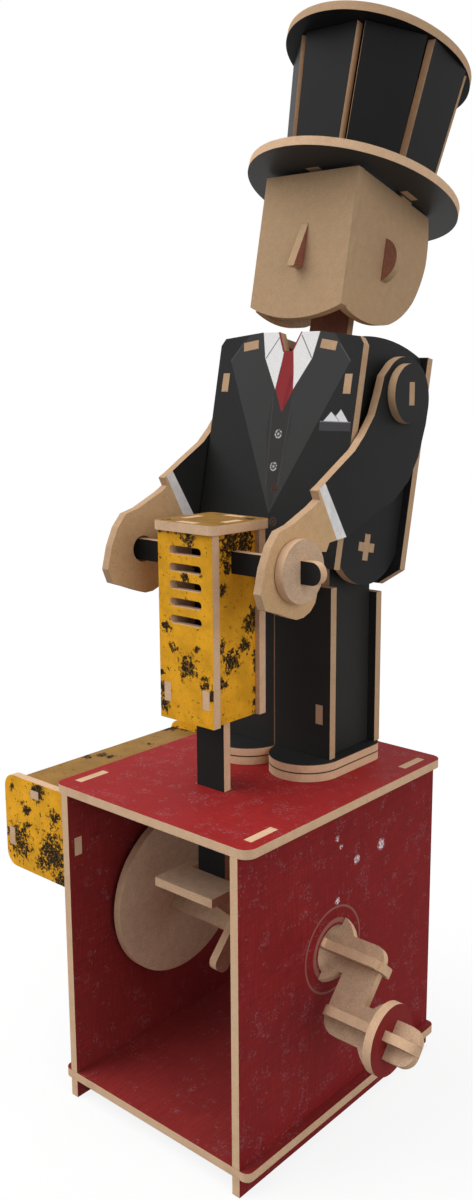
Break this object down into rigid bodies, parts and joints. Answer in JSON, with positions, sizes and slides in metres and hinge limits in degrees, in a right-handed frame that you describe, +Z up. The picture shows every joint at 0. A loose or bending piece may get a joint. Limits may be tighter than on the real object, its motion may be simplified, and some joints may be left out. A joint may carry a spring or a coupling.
{
  "type": "hand-cranked wooden automaton",
  "caption": "Hand-cranked flat-pack figure in a top hat that works a breaker hammer on an open box with crank, flywheel and cam.",
  "frame": {"origin": "on the ground, under the middle of the whole object's bounding box", "axes": "+X towards the crank (the figure's left), +Y towards the back, +Z up"},
  "size_m": [0.1546, 0.153, 0.3655],
  "materials": {
    "red_board": "printed red face, bare board edges",
    "yellow_board": "printed yellow face with rust marks, bare board edges",
    "ochre_board": "printed ochre face, bare board edges",
    "black_board": "printed charcoal face, bare board edges",
    "bare_board": "bare laser-cut fibreboard",
    "dark_red_board": "printed dark red face, bare board edges",
    "tan_board": "printed tan face, bare board edges",
    "brown_board": "printed brown face, bare board edges",
    "sleeve_and_hand_board": "printed charcoal sleeve, white cuff and tan hand, bare board edges"
  },
  "bodies": {
    "box": {"base_floor_panel": "red_board", "base_left_wall": "red_board", "base_right_wall": "red_board", "base_top_panel": "red_board", "compressor_front_panel": "yellow_board", "compressor_back_panel": "yellow_board", "compressor_top_panel": "ochre_board", "compressor_outer_panel": "yellow_board", "left_shoe_lower": "bare_board", "left_shoe_upper": "black_board", "right_shoe_lower": "bare_board", "right_shoe_upper": "black_board", "left_leg_front_panel": "black_board", "left_leg_back_panel": "black_board", "left_leg_outer_panel": "black_board", "left_leg_inner_panel": "black_board", "right_leg_front_panel": "black_board", "right_leg_back_panel": "black_board", "right_leg_outer_panel": "black_board", "right_leg_inner_panel": "black_board"},
    "crank": {"crank_plate": "bare_board", "axle_rib": "bare_board", "handle_rib": "bare_board", "knob_disc": "dark_red_board", "star_cam": "bare_board", "flywheel_disc": "bare_board"},
    "hammer": {"handle_and_rod": "black_board", "rod_brace": "bare_board", "follower_plate": "bare_board", "hammer_front_panel": "yellow_board", "hammer_back_panel": "yellow_board", "hammer_left_panel": "yellow_board", "hammer_right_panel": "yellow_board", "hammer_top_panel": "ochre_board", "hand_washers": "bare_board"},
    "man": {"hip_axle_flat": "bare_board", "hip_axle_rib": "bare_board", "chest_panel": "black_board", "back_panel": "black_board", "torso_left_panel": "black_board", "torso_right_panel": "black_board", "left_shoulder_support": "bare_board", "right_shoulder_support": "bare_board", "neck_and_ears": "brown_board", "face_panel": "tan_board", "nose": "brown_board", "head_left_panel": "tan_board", "head_right_panel": "tan_board", "hat_brim": "black_board", "hat_top_disc": "black_board", "hat_front_panel": "black_board", "hat_back_panel": "black_board", "hat_side_panels": "black_board", "hat_corner_panels": "black_board"},
    "left_arm": {"left_arm": "sleeve_and_hand_board", "left_shoulder_pin": "bare_board", "left_shoulder_washers": "black_board"},
    "right_arm": {"right_arm": "sleeve_and_hand_board", "right_shoulder_pin": "bare_board", "right_shoulder_washers": "black_board"}
  },
  "joints": [
    {"name": "crank_turn", "type": "hinge", "parent": "box", "child": "crank", "pos_m": [-0.00365, -0.03081, 0.0627], "axis": [1, 0, 0], "continuous": true},
    {"name": "hammer_lift", "type": "slide", "parent": "box", "child": "hammer", "axis": [0, 0, 1], "range_m": [0, 0.0042]},
    {"name": "torso_rock", "type": "hinge", "parent": "box", "child": "man", "pos_m": [-0.00365, -0.00001, 0.1904], "axis": [1, 0, 0], "range_deg": [-5.3, 0]},
    {"name": "left_arm_swing", "type": "hinge", "parent": "man", "child": "left_arm", "pos_m": [0.02935, 0.01055, 0.24081], "axis": [1, 0, 0], "range_deg": [-0.1, 0]},
    {"name": "right_arm_swing", "type": "hinge", "parent": "man", "child": "right_arm", "pos_m": [-0.03665, 0.01055, 0.24081], "axis": [1, 0, 0], "range_deg": [-0.1, 0]}
  ],
  "couplings": [
    {"joint": "torso_rock", "follows": "hammer_lift", "rad_per_m": -21.694},
    {"joint": "left_arm_swing", "follows": "hammer_lift", "rad_per_m": -0.399},
    {"joint": "right_arm_swing", "follows": "hammer_lift", "rad_per_m": -0.399}
  ]
}
